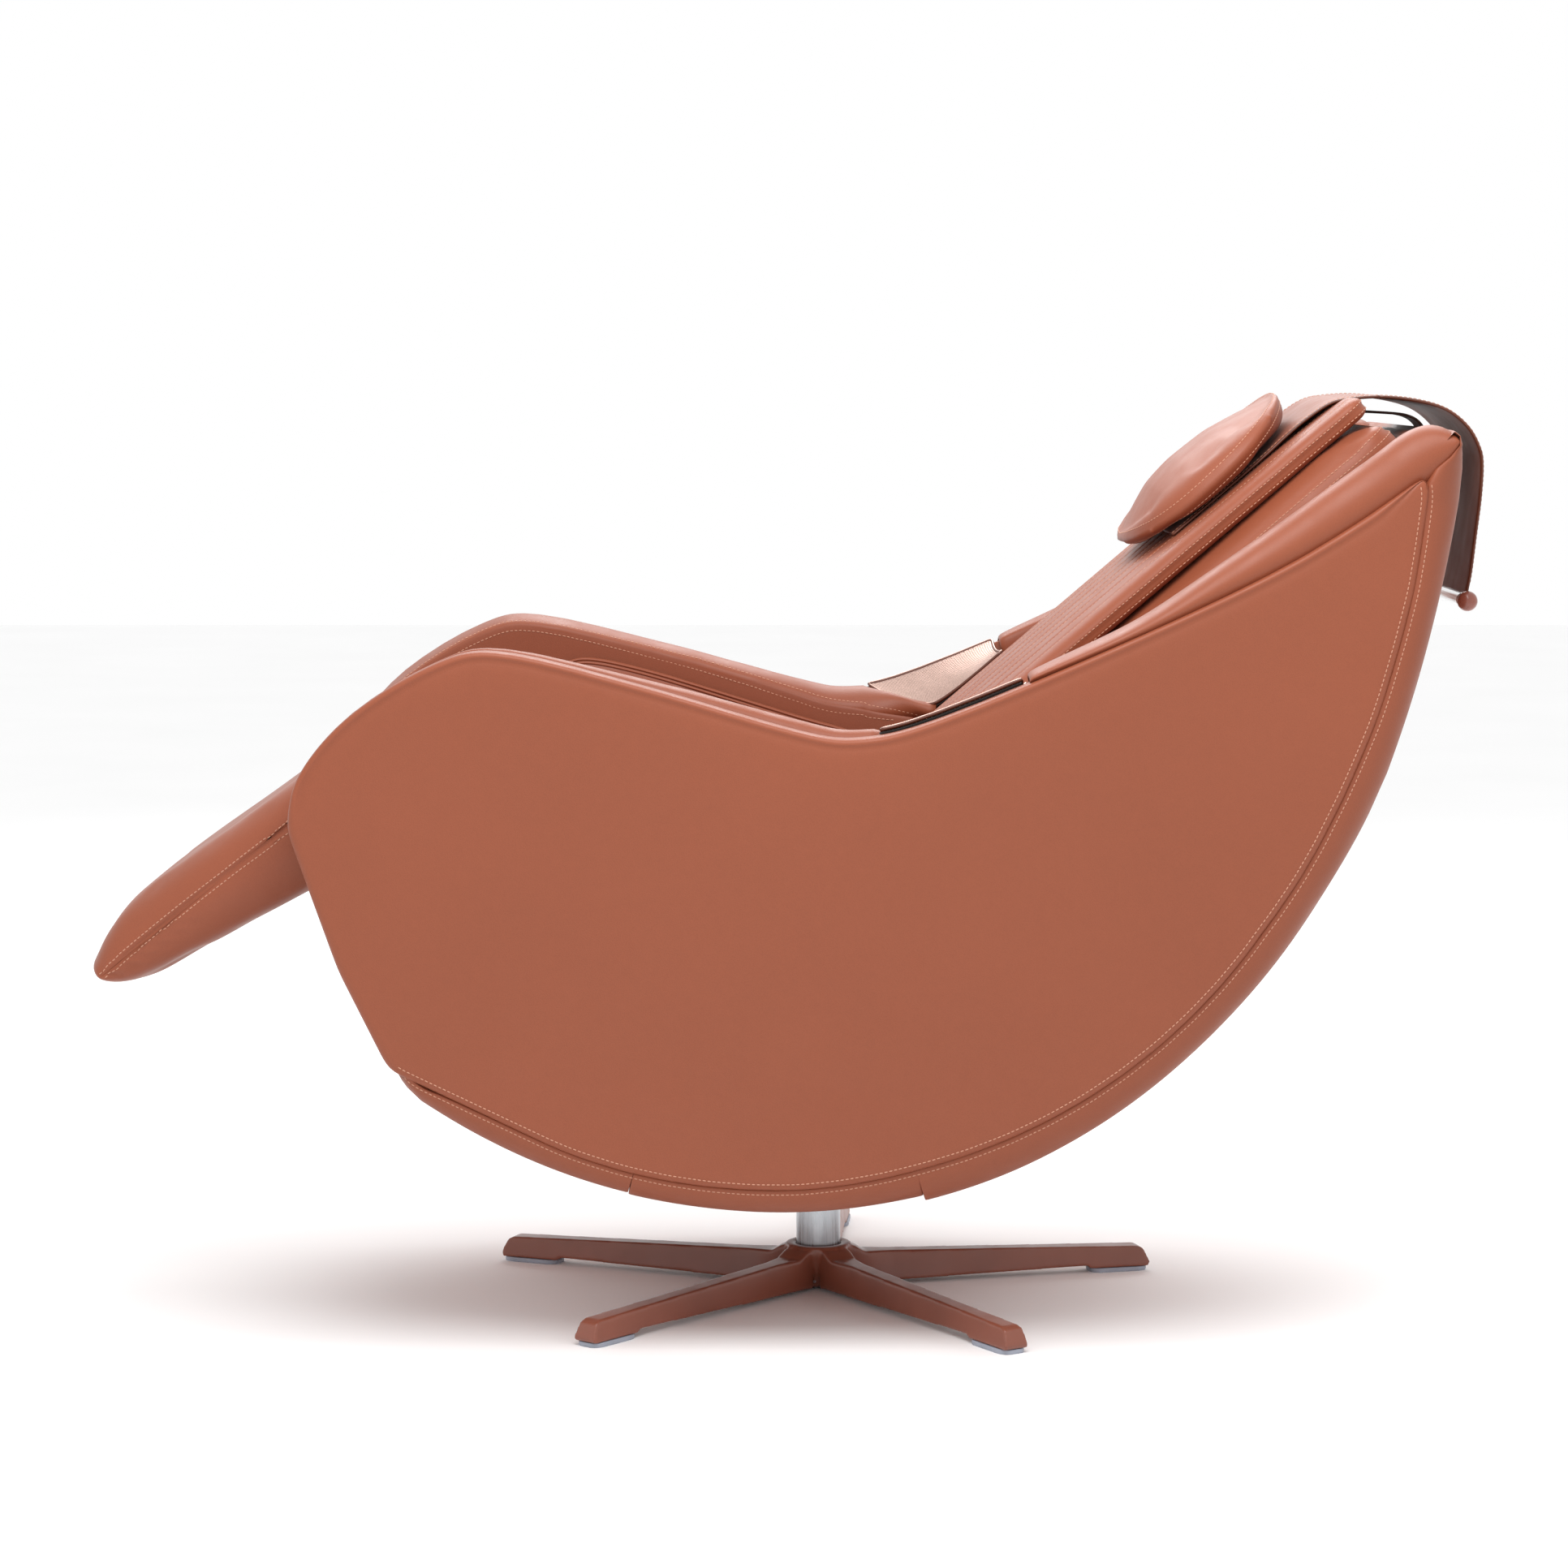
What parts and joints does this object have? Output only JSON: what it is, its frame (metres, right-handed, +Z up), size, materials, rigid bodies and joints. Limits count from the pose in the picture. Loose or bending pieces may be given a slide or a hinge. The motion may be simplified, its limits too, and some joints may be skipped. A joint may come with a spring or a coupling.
{
  "type": "recliner armchair",
  "caption": "Moon-shaped leather recliner on a swivelling star base, with a fold-down legrest, a sliding counterweighted head pillow and a massage unit in its back.",
  "frame": {"origin": "on the swivel axis at floor level", "axes": "+Z up, -Y is where the sitter faces, +X is the sitter's left"},
  "size_m": [0.7385, 1.5014, 1.011],
  "materials": {
    "base_paint": "satin",
    "foot_rubber": "matte",
    "brushed_column": "satin",
    "nylon": "matte",
    "carriage_steel": "matte",
    "motor_case": "matte",
    "roller": "matte",
    "bright_steel": "satin",
    "plywood": "matte",
    "panel_leather": "satin",
    "padded_leather": "satin",
    "cover_leather": "satin",
    "strap_leather": "satin",
    "rose_metal": "satin",
    "speaker": "matte",
    "black_plastic": "matte",
    "switch_red": "gloss",
    "bearing": "satin",
    "chrome_bar": "polished",
    "ball_paint": "gloss"
  },
  "bodies": {
    "base": {"star_base": "base_paint", "foot_pads": "foot_rubber", "column_tube": "brushed_column", "column_bushes": "nylon"},
    "carriage": {"swivel_spindle": "brushed_column", "swivel_plate": "carriage_steel", "plate_bolts": "carriage_steel", "carriage_cheeks": "carriage_steel", "keeper_shoes": "nylon", "tilt_gearmotor": "motor_case"},
    "front_roller_set": {"front_rollers": "roller"},
    "rear_roller_set": {"rear_rollers": "roller"},
    "drive_pinion": {"tilt_pinion": "bright_steel"},
    "shell": {"screw_motor": "motor_case", "legrest_gearmotor": "motor_case", "tilt_rack": "bright_steel", "tilt_rails": "bright_steel", "massage_frame": "bright_steel", "side_frame_left": "plywood", "side_frame_right": "plywood", "seat_pan": "plywood", "front_apron": "plywood", "back_boards": "plywood", "side_panel_left": "panel_leather", "side_panel_right": "panel_leather", "arm_pad_left": "padded_leather", "arm_pad_right": "padded_leather", "shoulder_bolster_left": "padded_leather", "shoulder_bolster_right": "padded_leather", "top_roll": "padded_leather", "seat_cushion": "padded_leather", "back_cushion": "padded_leather", "back_pad": "padded_leather", "front_cover": "cover_leather", "middle_cover": "cover_leather", "rear_shell": "cover_leather", "inner_panel_left": "cover_leather", "inner_panel_right": "cover_leather", "armrest_cap_left": "cover_leather", "armrest_cap_right": "cover_leather", "pad_strap": "strap_leather", "strap_over": "strap_leather", "speaker_grille_left": "rose_metal", "speaker_grille_right": "rose_metal", "speaker_drivers": "speaker", "control_box": "black_plastic", "power_inlet": "black_plastic", "legrest_bearing": "bearing"},
    "rocker_switch": {"power_switch": "switch_red"},
    "legrest": {"legrest_frame": "bearing", "legrest_pad": "padded_leather"},
    "headrest": {"head_pillow": "padded_leather", "pillow_strap": "strap_leather"},
    "counterweight": {"weight_strap": "strap_leather", "weight_bar": "chrome_bar", "weight_balls": "ball_paint"},
    "massage_unit": {"massage_carriage": "black_plastic", "kneading_motor": "motor_case"},
    "lead_screw": {"massage_screw": "bright_steel"},
    "kneading_shaft": {"kneading_wheels": "nylon"}
  },
  "joints": [
    {"name": "swivel", "type": "hinge", "parent": "base", "child": "carriage", "pos_m": [0, 0, 0], "axis": [0, 0, 1], "continuous": true},
    {"name": "recline", "type": "hinge", "parent": "carriage", "child": "shell", "pos_m": [0, -0.044, 0.812], "axis": [1, 0, 0], "range_deg": [0, 14]},
    {"name": "front_roller_spin", "type": "hinge", "parent": "carriage", "child": "front_roller_set", "pos_m": [0, -0.13057, 0.19605], "axis": [1, 0, 0], "range_deg": [-430, 5]},
    {"name": "rear_roller_spin", "type": "hinge", "parent": "carriage", "child": "rear_roller_set", "pos_m": [0, 0.04257, 0.19605], "axis": [1, 0, 0], "range_deg": [-430, 5]},
    {"name": "pinion_spin", "type": "hinge", "parent": "carriage", "child": "drive_pinion", "pos_m": [0, -0.044, 0.204], "axis": [1, 0, 0], "range_deg": [-465, 5]},
    {"name": "legrest_fold", "type": "hinge", "parent": "shell", "child": "legrest", "pos_m": [0, -0.505, 0.572], "axis": [1, 0, 0], "range_deg": [-15, 45]},
    {"name": "pillow_slide", "type": "slide", "parent": "shell", "child": "headrest", "axis": [0, 0.7604, 0.6494], "range_m": [-0.06, 0.02]},
    {"name": "weight_slide", "type": "slide", "parent": "shell", "child": "counterweight", "axis": [0, 0.1065, 0.9943], "range_m": [-0.021, 0.061]},
    {"name": "massage_travel", "type": "slide", "parent": "shell", "child": "massage_unit", "axis": [0, 0.7604, 0.6494], "range_m": [-0.165, 0.14]},
    {"name": "screw_spin", "type": "hinge", "parent": "shell", "child": "lead_screw", "pos_m": [0, 0.24057, 0.48821], "axis": [0, 0.7604, 0.6494], "range_deg": [-1490, 1270]},
    {"name": "kneading_spin", "type": "hinge", "parent": "massage_unit", "child": "kneading_shaft", "pos_m": [0, 0.41536, 0.6993], "axis": [1, 0, 0], "continuous": true},
    {"name": "switch_rock", "type": "hinge", "parent": "shell", "child": "rocker_switch", "pos_m": [0, 0.26726, 0.22661], "axis": [1, 0, 0], "range_deg": [0, 14]}
  ],
  "couplings": [
    {"joint": "front_roller_spin", "follows": "recline", "ratio": -30.1},
    {"joint": "rear_roller_spin", "follows": "recline", "ratio": -30.1},
    {"joint": "pinion_spin", "follows": "recline", "ratio": -32.778},
    {"joint": "weight_slide", "follows": "pillow_slide", "ratio": -1},
    {"joint": "screw_spin", "follows": "massage_travel", "rad_per_m": 157.08}
  ]
}
